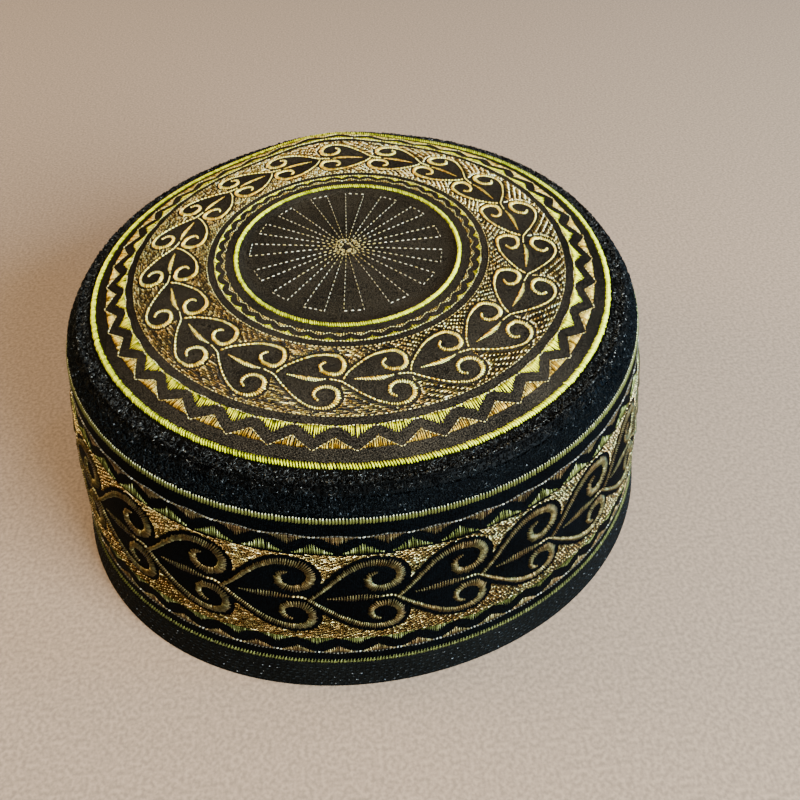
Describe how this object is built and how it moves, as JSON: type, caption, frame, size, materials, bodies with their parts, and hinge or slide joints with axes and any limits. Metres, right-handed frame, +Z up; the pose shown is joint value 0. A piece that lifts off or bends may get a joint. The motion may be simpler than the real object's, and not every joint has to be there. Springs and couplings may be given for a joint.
{
  "type": "prayer cap",
  "caption": "Stiff round embroidered prayer cap with a slightly domed crown, an overcast crown seam and a stitched hem, standing on its rim with its hollow open below.",
  "frame": {"origin": "middle of the rim's outline, on the surface that the cap rests on", "axes": "+Z up through the crown; the side seen in the picture faces -Y, with +X to the right in it"},
  "size_m": [0.19, 0.1883, 0.0868],
  "materials": {
    "crown_panel": "fine black weave with embroidery",
    "crown_seam": "furry overcast thread",
    "side_band": "fine black weave with embroidery",
    "hem_binding": "close rows of black stitching",
    "medallion_ring": "yellow-green satin stitch",
    "crown_ring": "yellow-green satin stitch",
    "upper_band_ring": "yellow-green satin stitch",
    "lower_band_ring": "yellow-green satin stitch"
  },
  "bodies": {
    "root": {"crown_panel": "crown_panel", "crown_seam": "crown_seam", "side_band": "side_band", "hem_binding": "hem_binding", "medallion_ring": "medallion_ring", "crown_ring": "crown_ring", "upper_band_ring": "upper_band_ring", "lower_band_ring": "lower_band_ring"}
  },
  "joints": []
}
